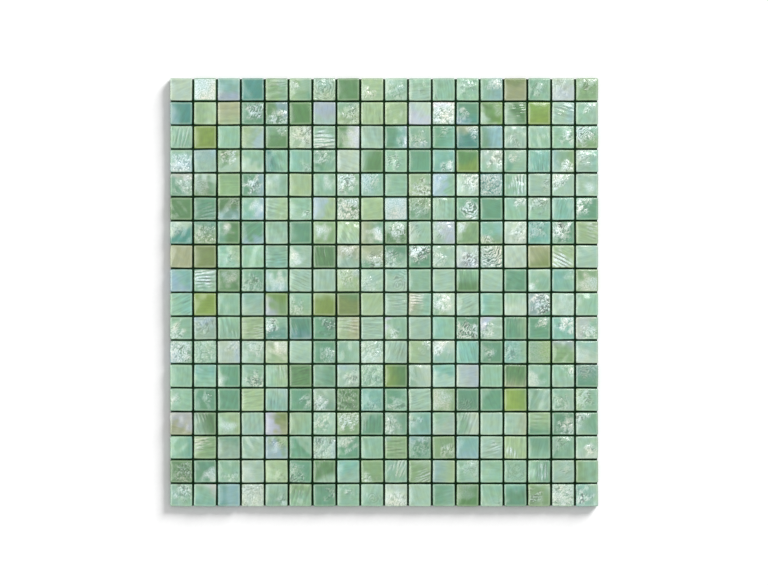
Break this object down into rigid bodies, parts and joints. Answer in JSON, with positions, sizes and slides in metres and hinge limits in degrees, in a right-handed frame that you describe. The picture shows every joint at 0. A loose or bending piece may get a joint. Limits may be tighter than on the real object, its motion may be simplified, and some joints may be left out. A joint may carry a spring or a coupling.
{
  "type": "glass mosaic tile sheet",
  "caption": "Square sheet of small iridescent glass mosaic tiles in pale greens, bonded in straight rows with open joints to a thin dark mesh backing, for facing walls and pools.",
  "frame": {"origin": "centre of the backing's underside, the face that lies on the floor or is bonded to a wall", "axes": "+X across the sheet, +Y up the sheet as pictured, +Z out of the tile faces"},
  "size_m": [0.2958, 0.2958, 0.0046],
  "materials": {
    "pearl_glass": "polished",
    "backing": "matte"
  },
  "bodies": {
    "root": {"mesh_backing": "backing", "tile_row_01": "pearl_glass", "tile_row_02": "pearl_glass", "tile_row_03": "pearl_glass", "tile_row_04": "pearl_glass", "tile_row_05": "pearl_glass", "tile_row_06": "pearl_glass", "tile_row_07": "pearl_glass", "tile_row_08": "pearl_glass", "tile_row_09": "pearl_glass", "tile_row_10": "pearl_glass", "tile_row_11": "pearl_glass", "tile_row_12": "pearl_glass", "tile_row_13": "pearl_glass", "tile_row_14": "pearl_glass", "tile_row_15": "pearl_glass", "tile_row_16": "pearl_glass", "tile_row_17": "pearl_glass", "tile_row_18": "pearl_glass"}
  },
  "joints": []
}
